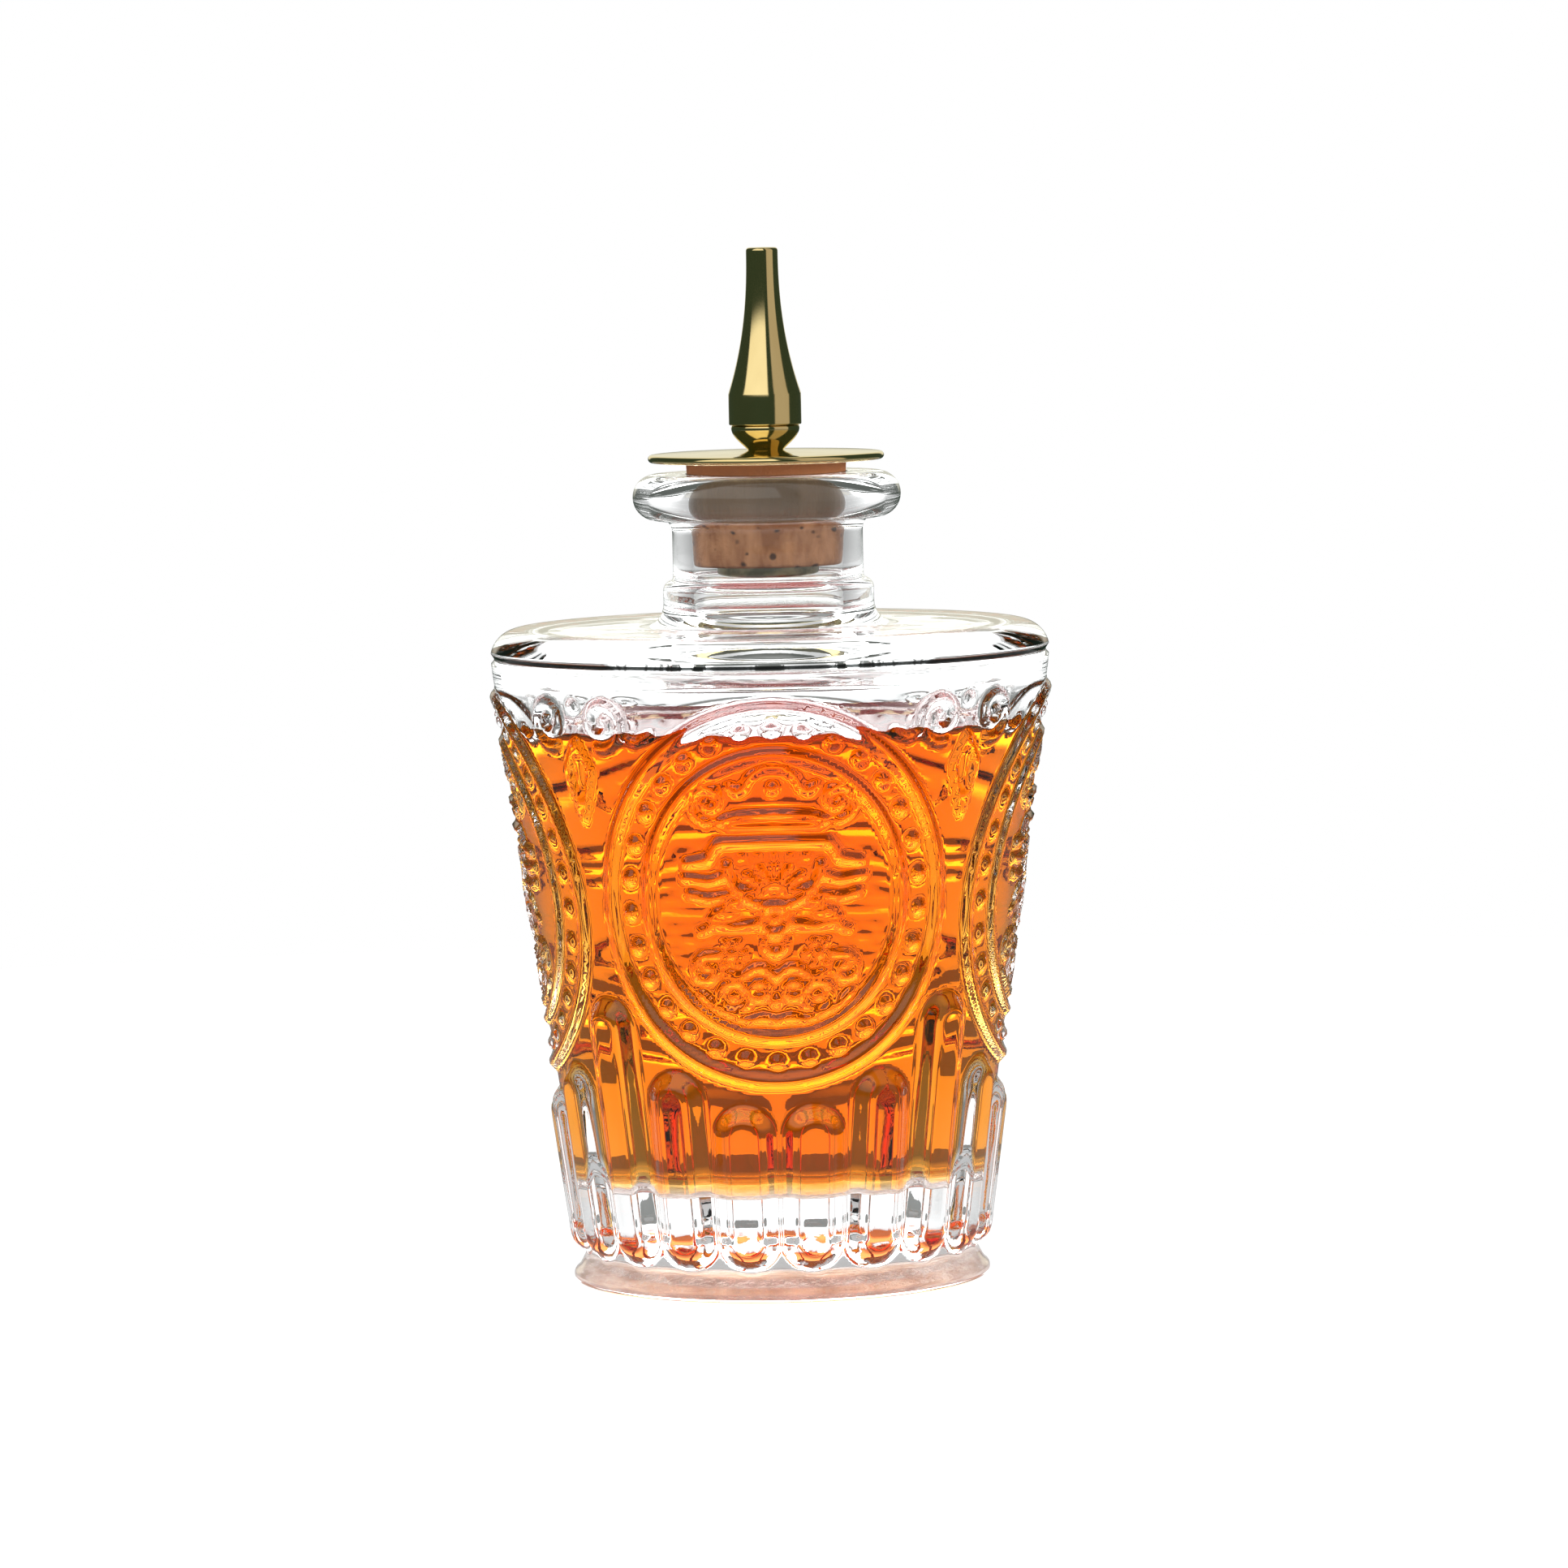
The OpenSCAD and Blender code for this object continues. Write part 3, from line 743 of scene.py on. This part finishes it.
@dataclass
class GlassBottle:
    """The pressed glass bottle and the bitters in it, in millimetres."""

    relief: WallRelief
    foot_r: float = 24.8
    foot_round: float = 0.8
    kick_h: float = 1.2
    kick_r: float = 19.0
    wall_rows: int = 50
    wall_high_z: float = 72.6
    shoulder_z: float = 77.8
    shoulder_round: float = 3.5
    shoulder_r: float = 33.2
    collar_r: float = 12.5
    flare_round: float = 2.6
    collar_z: float = 83.2
    neck_r: float = 11.3
    lip_r: float = 15.9
    lip_round: float = 2.7
    mouth_z: float = 95.8
    mouth_round: float = 0.6
    bore_low_r: float = 8.85
    bore_low_z: float = 84.9
    bore_slope: float = 0.7 / 12.3
    wall_t: float = 3.7
    floor_z: float = 12.0
    floor_round: float = 4.5
    shoulder_t: float = 3.3
    inner_round: float = 3.0
    throat_round: float = 2.0
    fill_z: float = 66.0
    meniscus_h: float = 0.9
    meniscus_w: float = 1.8
    film: float = 0.03
    segments: int = 144
    wall_cuts: int = 2

    @property
    def rim_z(self) -> float:
        """Returns the height at which the liquid's surface meets the wall."""
        return self.fill_z + self.meniscus_h

    def inner_r(self, z: float) -> float:
        """Returns the cavity's radius at a height between its two roundings."""
        return float(self.relief.radius(np.array(z))) - self.wall_t

    def foot_profile(self) -> list[Point]:
        """Returns the underside and the flared foot, from the axis outwards."""
        edge_r = self.foot_r - self.foot_round
        rim = arc((edge_r, self.foot_round), self.foot_round, -90, 35, 7)
        top = rim[-1]
        groove = (self.relief.wall_low_r, self.relief.wall_low_z)
        sweep = [(top[0] + (groove[0] - top[0]) * t, top[1] + (groove[1] - top[1]) * t**1.5)
                 for t in (0.25, 0.5, 0.75)]
        return (run((0.0, self.kick_h), (self.kick_r - self.kick_h, self.kick_h), 4)
                + [(self.kick_r - 0.3, 0.2), (self.kick_r + 0.3, 0.0), (edge_r - 1.5, 0.0)] + rim + sweep)

    def wall_profile(self) -> list[Point]:
        """Returns the plain wall from the foot's groove to just under the shoulder."""
        low, high = self.relief.wall_low_z, self.wall_high_z
        levels = [low + (high - low) * i / self.wall_rows for i in range(self.wall_rows + 1)]
        return [(float(self.relief.radius(np.array(z))), z) for z in levels]

    def top_profile(self) -> list[Point]:
        """Returns the shoulder, neck and lip, up to the mouth's inner edge."""
        roll_r = self.shoulder_r - self.shoulder_round
        flare_r = self.collar_r + self.flare_round
        ledge = self.collar_r - self.neck_r
        lip_mid = (self.lip_r - self.lip_round, self.mouth_z - self.lip_round)
        under_r = 1.6
        under = (self.neck_r + under_r, lip_mid[1] - self.lip_round - under_r + 0.2)
        mouth_r = self.bore_r(self.mouth_z - self.mouth_round) + self.mouth_round
        wide_r = self.shoulder_r
        wide_z = self.shoulder_z - self.shoulder_round
        groove = [(wide_r - 0.1, wide_z - 0.5), (wide_r - 0.45, wide_z - 0.1), (wide_r - 0.45, wide_z + 0.15)]
        return (groove + arc((roll_r, wide_z), self.shoulder_round, 12, 90, 14)
                + run((roll_r, self.shoulder_z), (flare_r, self.shoulder_z), 6)[1:-1]
                + arc((flare_r, self.shoulder_z + self.flare_round), self.flare_round, -90, -180, 8)
                + arc((self.neck_r, self.collar_z - ledge), ledge, 0, 80, 6)
                + run((self.neck_r, self.collar_z + 0.3), under_start(under, under_r), 4)
                + arc(under, under_r, 175, 112, 5)
                + arc(lip_mid, self.lip_round, -92, 90, 18)
                + run((lip_mid[0], self.mouth_z), (mouth_r, self.mouth_z), 3)[1:-1]
                + arc((mouth_r, self.mouth_z - self.mouth_round), self.mouth_round, 90, 180, 5))

    def bore_r(self, z: float) -> float:
        """Returns the neck bore's radius at a height."""
        return self.bore_low_r + self.bore_slope * max(0.0, z - self.bore_low_z)

    def cavity_profile(self) -> list[Point]:
        """Returns the inside, from below the mouth down to the middle of the floor."""
        ceiling = self.shoulder_z - self.shoulder_t
        turn_z = ceiling - self.inner_round
        top_r = self.inner_r(turn_z)
        low_z = self.floor_z + self.floor_round
        low_r = self.inner_r(low_z)
        throat = (self.bore_low_r + self.throat_round, ceiling + self.throat_round)
        return (run((self.bore_r(self.mouth_z - 1.0), self.mouth_z - 1.0), (self.bore_low_r, self.bore_low_z), 5)
                + run((self.bore_low_r, self.bore_low_z), (self.bore_low_r, throat[1]), 4)[1:-1]
                + arc(throat, self.throat_round, -180, -270, 6)
                + run((throat[0], ceiling), (top_r - self.inner_round, ceiling), 5)[1:-1]
                + arc((top_r - self.inner_round, turn_z), self.inner_round, 90, 0, 8)
                + run((top_r, turn_z), (self.inner_r(self.rim_z), self.rim_z), 4)[1:-1]
                + run((self.inner_r(self.rim_z), self.rim_z), (low_r, low_z), 14)[:-1]
                + arc((low_r - self.floor_round, low_z), self.floor_round, 0, -90, 8)
                + run((low_r - self.floor_round, self.floor_z), (0.0, self.floor_z), 5)[1:])

    def liquid_profile(self) -> list[Point]:
        """Returns the liquid's outline, a hair's breadth clear of the glass."""
        low_z = self.floor_z + self.floor_round
        low_r = self.inner_r(low_z)
        high_r = self.inner_r(self.rim_z) - self.film
        curve = [(high_r - self.meniscus_w * t, self.fill_z + self.meniscus_h * (1.0 - t) ** 2.2)
                 for t in (0.0, 0.08, 0.18, 0.3, 0.5, 0.75, 1.0)]
        return (run((0.0, self.floor_z + self.film), (low_r - self.floor_round, self.floor_z + self.film), 5)
                + arc((low_r - self.floor_round, low_z), self.floor_round - self.film, -90, 0, 8)[1:]
                + run((low_r - self.film, low_z), (high_r, self.rim_z), 14)[1:-1]
                + curve + run((curve[-1][0], self.fill_z), (0.0, self.fill_z), 6)[1:])

    def part_finishes(self, bm: bmesh.types.BMesh) -> None:
        """Numbers the glass's faces by finish: 0 outside, 1 where the liquid wets it, 2 on the stippled underside."""
        for face in bm.faces:
            centre = face.calc_center_median() / MM
            reach = math.hypot(centre.x, centre.y)
            inside = reach < float(self.relief.radius(np.array(centre.z))) - self.wall_t + 0.5
            if centre.z < self.kick_h + 0.1 and reach < self.foot_r - self.foot_round:
                face.material_index = 2
            elif inside and self.floor_z - 0.1 < centre.z < self.rim_z:
                face.material_index = 1

    def top_face(self, bm: bmesh.types.BMesh) -> None:
        """Numbers the liquid's upper faces, so that they take the second finish."""
        for face in bm.faces:
            face.material_index = int(face.normal.z > 0.1 and face.calc_center_median().z > (self.fill_z - 0.1) * MM)

    def press_pattern(self, bm: bmesh.types.BMesh) -> None:
        """Refines the outer wall and raises the pattern on it."""
        low, high = self.relief.wall_low_z * MM, self.wall_high_z * MM
        slack = 0.05 * MM

        def on_wall(vert: bmesh.types.BMVert) -> bool:
            """Returns True for a vertex of the outer wall."""
            reach = math.hypot(vert.co.x, vert.co.y) / MM
            plain = self.relief.wall_low_r + self.relief.wall_slope * (vert.co.z / MM - self.relief.wall_low_z)
            return low - slack <= vert.co.z <= high + slack and reach > plain - 1.0

        edges = {e for f in bm.faces if all(on_wall(v) for v in f.verts) for e in f.edges}
        bmesh.ops.subdivide_edges(bm, edges=list(edges), cuts=self.wall_cuts, use_grid_fill=True)
        verts = [v for v in bm.verts if on_wall(v)]
        places = np.array([v.co[:] for v in verts]) / MM
        theta = np.arctan2(places[:, 0], -places[:, 1])
        reach = self.relief.radius(places[:, 2]) + self.relief.height(theta, places[:, 2])
        for vert, angle, r in zip(verts, theta, reach):
            vert.co.x = r * math.sin(angle) * MM
            vert.co.y = -r * math.cos(angle) * MM

    def build(self, workshop: Workshop) -> None:
        """Makes the glass and the bitters, in place of their plain solids."""
        profile = self.foot_profile() + self.wall_profile() + self.top_profile() + self.cavity_profile()
        bm = Lathe.spin(profile, self.segments)
        self.press_pattern(bm)
        self.part_finishes(bm)
        glass = Lathe.piece("pressed_bottle", bm, workshop.material(Finishes.CLEAR_GLASS),
                            workshop.material(Finishes.WET_GLASS), workshop.material(Finishes.STIPPLED_GLASS))
        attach(glass, "bottle")
        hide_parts("glass_bottle")
        glass.visible_shadow = False
        report(glass)
        bm = Lathe.spin(self.liquid_profile(), self.segments)
        bm.normal_update()
        self.top_face(bm)
        liquid = Lathe.piece("bitters", bm, workshop.material(Finishes.BITTERS),
                             workshop.material(Finishes.BITTERS_TOP))
        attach(liquid, "bottle")
        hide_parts("bitters_fill")
        report(liquid)


def under_start(under: Point, radius: float) -> Point:
    """Returns where the neck ends and the hollow under the lip begins."""
    return (under[0] - radius, under[1] - 0.2)


@dataclass
class Stopper:
    """The cork, its tube, the cover and the two halves of the spout, in millimetres."""

    cork_low_r: float = 8.8
    cork_top_r: float = 9.5
    cork_low_z: float = 84.9
    cork_top_z: float = 97.2
    cork_round: float = 0.5
    stem_r: float = 6.0
    stem_low_z: float = 83.1
    stem_bore_r: float = 3.2
    stem_round: float = 0.7
    socket_z: float = 91.2
    stud_r: float = 1.8
    fit_gap: float = 0.05
    cover_r: float = 14.0
    cover_t: float = 0.9
    cover_rise: float = 0.35
    seam_z: float = 101.4
    bowl_r: float = 4.05
    bowl_foot_r: float = 2.1
    spigot_r: float = 2.6
    spigot_l: float = 3.0
    passage_r: float = 1.1
    band_r: float = 4.3
    band_h: float = 3.8
    tip_r: float = 1.88
    tip_z: float = 122.4
    nozzle_power: float = 2.3
    orifice_r: float = 0.9
    orifice_l: float = 6.0
    segments: int = 160

    def cork(self) -> list[Point]:
        """Returns the cork's closed outline."""
        soft = self.cork_round
        bore = self.stem_r + self.fit_gap
        return (arc((self.cork_low_r - soft, self.cork_low_z + soft), soft, -90, 0, 5)
                + run((self.cork_low_r + 0.03, self.cork_low_z + soft), (self.cork_top_r, self.cork_top_z - 0.15), 30)[1:]
                + [(self.cork_top_r - 0.15, self.cork_top_z), (bore, self.cork_top_z), (bore, self.cork_low_z)])

    def stem(self) -> list[Point]:
        """Returns the tube's closed outline."""
        soft = self.stem_round
        socket_r = self.stud_r + self.fit_gap
        return (arc((self.stem_r - soft, self.stem_low_z + soft), soft, -90, 0, 8)
                + [(self.stem_r, self.cork_top_z), (socket_r, self.cork_top_z), (socket_r, self.socket_z),
                   (self.stem_bore_r, self.socket_z)]
                + arc((self.stem_bore_r + 0.3, self.stem_low_z + 0.3), 0.3, 180, 270, 4))

    def cover(self) -> list[Point]:
        """Returns the cover's closed outline, slightly raised in the middle."""
        half = self.cover_t / 2
        hole = self.stud_r + self.fit_gap
        rim = arc((self.cover_r - half, self.cork_top_z + half), half, -90, 90, 10)
        rise = [(self.cover_r - half - (self.cover_r - half - hole) * t,
                 self.cork_top_z + self.cover_t + self.cover_rise * math.sin(t * math.pi / 2))
                for t in (0.15, 0.3, 0.45, 0.6, 0.75, 0.9, 1.0)]
        return rim + rise + [(hole, self.cork_top_z)]

    def bowl(self) -> list[Point]:
        """Returns the bowl's closed outline, with its stud and its spigot."""
        foot_z = self.cork_top_z + self.cover_t + self.cover_rise
        top_z = self.seam_z - 0.3
        side = [(self.bowl_foot_r + (self.bowl_r - self.bowl_foot_r) * math.sin(t * math.pi / 2) ** 1.1,
                 foot_z + (top_z - foot_z) * t) for t in (i / 12 for i in range(13))]
        stud_z = self.cork_top_z - 5.0
        return ([(self.stud_r, stud_z), (self.stud_r, foot_z)] + side
                + arc((self.bowl_r - 0.2, self.seam_z - 0.2), 0.2, 20, 90, 3)
                + [(self.spigot_r, self.seam_z), (self.spigot_r, self.seam_z + self.spigot_l),
                   (self.passage_r, self.seam_z + self.spigot_l), (self.passage_r, stud_z)])

    def nozzle(self) -> list[Point]:
        """Returns the nozzle's closed outline."""
        seat_z = self.seam_z + 0.05
        band_top = self.seam_z + self.band_h
        soft = 0.35
        flank = [(self.tip_r + (self.band_r - self.tip_r) * (1.0 - t) ** self.nozzle_power,
                  band_top + (self.tip_z - soft - band_top) * t) for t in (i / 40 for i in range(1, 41))]
        socket_r = self.spigot_r + self.fit_gap
        socket_z = self.seam_z + self.spigot_l + 0.4
        hole_z = self.tip_z - self.orifice_l
        return (arc((self.band_r - 0.18, seat_z + 0.18), 0.18, -90, 0, 4) + run((self.band_r, seat_z + 0.3),
                                                                              (self.band_r, band_top - 0.08), 3)
                + [(self.band_r - 0.02, band_top)] + flank
                + arc((self.tip_r - soft, self.tip_z - soft), soft, 10, 90, 6)
                + arc((self.orifice_r + 0.25, self.tip_z - 0.25), 0.25, 90, 180, 4)
                + [(self.orifice_r, hole_z), (self.passage_r, hole_z), (self.passage_r, socket_z),
                   (socket_r, socket_z), (socket_r, seat_z)])

    def build(self, workshop: Workshop) -> None:
        """Makes every turned piece of the stopper, in place of its plain solid."""
        pieces = [("turned_cork", self.cork(), Finishes.CORK, "stopper", "cork_sleeve", "cork"),
                  ("turned_stem", self.stem(), Finishes.SHADED_GILT, "stopper", "stem_tube", "dark_gilt_metal"),
                  ("turned_cover", self.cover(), Finishes.GILT, "stopper", "cover_disc", "gilt_metal"),
                  ("turned_bowl", self.bowl(), Finishes.GILT, "stopper", "spout_bowl", "gilt_metal"),
                  ("turned_nozzle", self.nozzle(), Finishes.GILT, "nozzle", "spout_nozzle", "gilt_metal")]
        for name, profile, finish, body, node, slot in pieces:
            bm = Lathe.spin(profile, self.segments, ring=True)
            sharp = [e for e in bm.edges if len(e.link_faces) == 2 and e.calc_face_angle() > math.radians(40)]
            for edge in sharp:
                edge.smooth = False
            piece = Lathe.piece(name, bm, workshop.material(finish))
            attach(piece, body)
            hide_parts(node)
            report(piece)


@dataclass
class Studio:
    """The camera, the lamps, the floor and the surroundings, in metres."""

    distance: float = 0.98
    eye_z: float = 0.138
    px_per_mm: float = 10.4
    aim_z: float = 0.0587
    aim_x: float = 0.00136
    lean_deg: float = 1.16
    sensor_mm: float = 36.0
    floor_r: float = 0.4
    floor_glow: float = 0.86
    floor_near: float = 0.8
    floor_back: float = 1.0
    floor_front: float = 0.06
    floor_drop: float = 0.00005
    floor_glint: float = 0.45
    floor_reflected: Colour = (0.05, 0.06, 0.05, 1.0)

    def camera(self) -> None:
        """Places the camera at the photograph's viewing angle."""
        data = bpy.data.cameras.new("viewpoint")
        data.sensor_width = self.sensor_mm
        data.lens = self.px_per_mm / MM * self.distance / PHOTO_SIDE_PX * self.sensor_mm
        data.clip_start = 0.05
        eye = Vector((self.aim_x, -self.distance, self.eye_z))
        look = Vector((self.aim_x, 0.0, self.aim_z)) - eye
        camera = bpy.data.objects.new("viewpoint", data)
        camera.location = eye
        camera.rotation_mode = "QUATERNION"
        roll = Quaternion((0.0, 0.0, 1.0), math.radians(-self.lean_deg))
        camera.rotation_quaternion = look.to_track_quat("-Z", "Y") @ roll
        bpy.context.scene.collection.objects.link(camera)
        bpy.context.scene.camera = camera

    def lamp(self, name: str, place: tuple[float, float, float], size: float, watts: float) -> None:
        """Hangs a soft square lamp that faces the object.

        Args:
            name: the lamp's name.
            place: where it hangs.
            size: its side.
            watts: its power.
        """
        data = bpy.data.lights.new(name, "AREA")
        data.shape = "SQUARE"
        data.size = size
        data.energy = watts
        lamp = bpy.data.objects.new(name, data)
        lamp.location = place
        toward = Vector((0.0, 0.0, 0.06)) - Vector(place)
        lamp.rotation_euler = toward.to_track_quat("-Z", "Y").to_euler()
        lamp.visible_glossy = False
        lamp.visible_transmission = False
        bpy.context.scene.collection.objects.link(lamp)

    def floor(self) -> None:
        """Lays a pale floor that shows nearly white and keeps a faint shadow."""
        bm = bmesh.new()
        bmesh.ops.create_circle(bm, cap_ends=True, segments=96, radius=self.floor_r)
        bmesh.ops.translate(bm, verts=bm.verts[:], vec=(0.0, 0.0, -self.floor_drop))
        material = bpy.data.materials.new("pale_floor")
        material.use_nodes = True
        tree = material.node_tree
        tree.nodes.clear()
        nodes = Nodes(tree)
        path = nodes.add("ShaderNodeLightPath").outputs
        direct = nodes.math("MAXIMUM", path["Is Camera Ray"], path["Is Transmission Ray"])
        seen = nodes.math("MAXIMUM", direct, path["Is Glossy Ray"])
        share = nodes.math("MULTIPLY", seen, self.floor_glow)
        place = nodes.add("ShaderNodeTexCoord").outputs["Object"]
        away = nodes.add("ShaderNodeVectorMath", {0: place}, operation="LENGTH").outputs["Value"]
        depth = nodes.add("ShaderNodeSeparateXYZ", {0: place}).outputs["Y"]
        behind = nodes.add("ShaderNodeMapRange", {0: depth, 1: -0.03, 2: 0.01, 3: self.floor_front,
                                                  4: self.floor_back}).outputs[0]
        fade = nodes.add("ShaderNodeMapRange", {0: away, 1: 0.035, 2: 0.075}).outputs[0]
        through = nodes.blend(fade, grey(self.floor_near), nodes.add("ShaderNodeCombineColor",
                                                                     {0: behind, 1: behind, 2: behind}).outputs[0])
        shade = nodes.blend(path["Is Transmission Ray"], grey(1.06), through)
        edge = nodes.add("ShaderNodeMapRange", {0: away, 1: 0.06, 2: 0.1}).outputs[0]
        mirrored = nodes.blend(edge, grey(self.floor_glint), self.floor_reflected)
        shade = nodes.blend(path["Is Glossy Ray"], shade, mirrored)
        cloth = nodes.add("ShaderNodeBsdfDiffuse", {"Color": grey(0.9)})
        glow = nodes.add("ShaderNodeEmission", {"Color": shade, "Strength": 1.0})
        mixed = nodes.add("ShaderNodeMixShader", {0: share, 1: cloth.outputs[0], 2: glow.outputs[0]})
        nodes.add("ShaderNodeOutputMaterial", {"Surface": mixed.outputs[0]})
        Lathe.piece("pale_floor", bm, material)

    def world(self) -> None:
        """Surrounds the object with white for the eye, and with soft panels for metal and glass."""
        world = bpy.data.worlds.new("surroundings")
        bpy.context.scene.world = world
        world.use_nodes = True
        tree = world.node_tree
        tree.nodes.clear()
        nodes = Nodes(tree)
        path = nodes.add("ShaderNodeLightPath").outputs
        way = nodes.add("ShaderNodeTexCoord").outputs["Generated"]
        axes = nodes.add("ShaderNodeSeparateXYZ", {0: way}).outputs
        forward = nodes.math("MULTIPLY", axes["Y"], -1.0)
        turn = nodes.math("DEGREES", nodes.math("ARCTAN2", axes["X"], forward))
        lift = nodes.math("DEGREES", nodes.math("ARCSINE", axes["Z"]))
        shine = self.panels(nodes, turn, lift)
        clear = self.backdrop(nodes, turn, lift)
        glossy = nodes.blend(path["Is Glossy Ray"], grey(0.82), shine)
        through = nodes.blend(path["Is Transmission Ray"], glossy, clear)
        final = nodes.blend(path["Is Camera Ray"], through, grey(1.0))
        surface = nodes.add("ShaderNodeBackground", {"Color": final, "Strength": 1.0})
        nodes.add("ShaderNodeOutputWorld", {"Surface": surface.outputs[0]})

    def panels(self, nodes: Nodes, turn: bpy.types.NodeSocket, lift: bpy.types.NodeSocket) -> bpy.types.NodeSocket:
        """Builds what polished metal reflects: a dark room with a few soft panels.

        Args:
            nodes: the world's nodes.
            turn: each direction's angle to the right of the front, in degrees.
            lift: its angle above the horizon.

        Returns:
            The colour's socket.
        """
        behind = nodes.math("ABSOLUTE", turn)
        colour: object = (0.035, 0.055, 0.04, 1.0)
        boxes = [(turn, -74.0, 12.0, 12.0, 70.0, (1.15, 1.12, 1.05, 1.0)),
                 (turn, 32.0, 84.0, -12.0, 75.0, (0.5, 0.45, 0.4, 1.0)),
                 (behind, 158.0, 200.0, 0.0, 60.0, (0.85, 0.83, 0.68, 1.0))]
        for angle, left, right, low, high, shade in boxes:
            mask = nodes.math("MULTIPLY", nodes.window(angle, left, right, 3.0), nodes.window(lift, low, high, 4.0))
            colour = nodes.blend(mask, colour, shade)
        return colour

    def backdrop(self, nodes: Nodes, turn: bpy.types.NodeSocket, lift: bpy.types.NodeSocket) -> bpy.types.NodeSocket:
        """Builds what shows through the glass: a white backdrop that falls to grey at the sides.

        Args:
            nodes: the world's nodes.
            turn: each direction's angle to the right of the front, in degrees.
            lift: its angle above the horizon.

        Returns:
            The colour's socket.
        """
        aside = nodes.math("SUBTRACT", 180.0, nodes.math("ABSOLUTE", turn))
        near = nodes.add("ShaderNodeMapRange", {0: aside, 1: 8.0, 2: 75.0, 3: 1.0, 4: 0.45},
                         interpolation_type="SMOOTHSTEP").outputs[0]
        far = nodes.add("ShaderNodeMapRange", {0: aside, 1: 100.0, 2: 160.0, 3: 1.0, 4: 1.8}).outputs[0]
        high = nodes.add("ShaderNodeMapRange", {0: lift, 1: -14.0, 2: 6.0, 3: 0.7, 4: 1.42},
                         interpolation_type="SMOOTHSTEP").outputs[0]
        glow = nodes.math("MULTIPLY", nodes.window(lift, 12.0, 48.0, 6.0), nodes.window(aside, -20.0, 50.0, 14.0))
        level = nodes.math("MULTIPLY", nodes.math("MULTIPLY", near, far), high)
        level = nodes.math("ADD", level, nodes.math("MULTIPLY", glow, 4.6))
        return nodes.add("ShaderNodeCombineColor", {0: level, 1: level, 2: level}).outputs[0]

    def build(self) -> None:
        """Sets up the whole studio."""
        self.camera()
        self.floor()
        self.world()
        self.lamp("front_left_lamp", (-0.45, -0.6, 0.55), 0.4, 5.0)
        self.lamp("right_lamp", (0.6, -0.3, 0.35), 0.4, 3.0)
        self.lamp("back_lamp", (0.1, 0.6, 0.5), 0.5, 4.0)
        bpy.context.scene.view_settings.view_transform = "Standard"


def report(piece: bpy.types.Object) -> None:
    """Logs a finished piece's name and how many faces it has."""
    LOG.info("%s: %d faces", piece.name, len(piece.data.polygons))


def main() -> None:
    """Dresses the bottle and its stopper and sets up the studio."""
    logging.basicConfig(level=logging.INFO, format="%(name)s: %(message)s")
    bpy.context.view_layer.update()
    Studio().build()
    workshop = Workshop()
    GlassBottle(WallRelief()).build(workshop)
    Stopper().build(workshop)


if __name__ == "__main__":
    main()
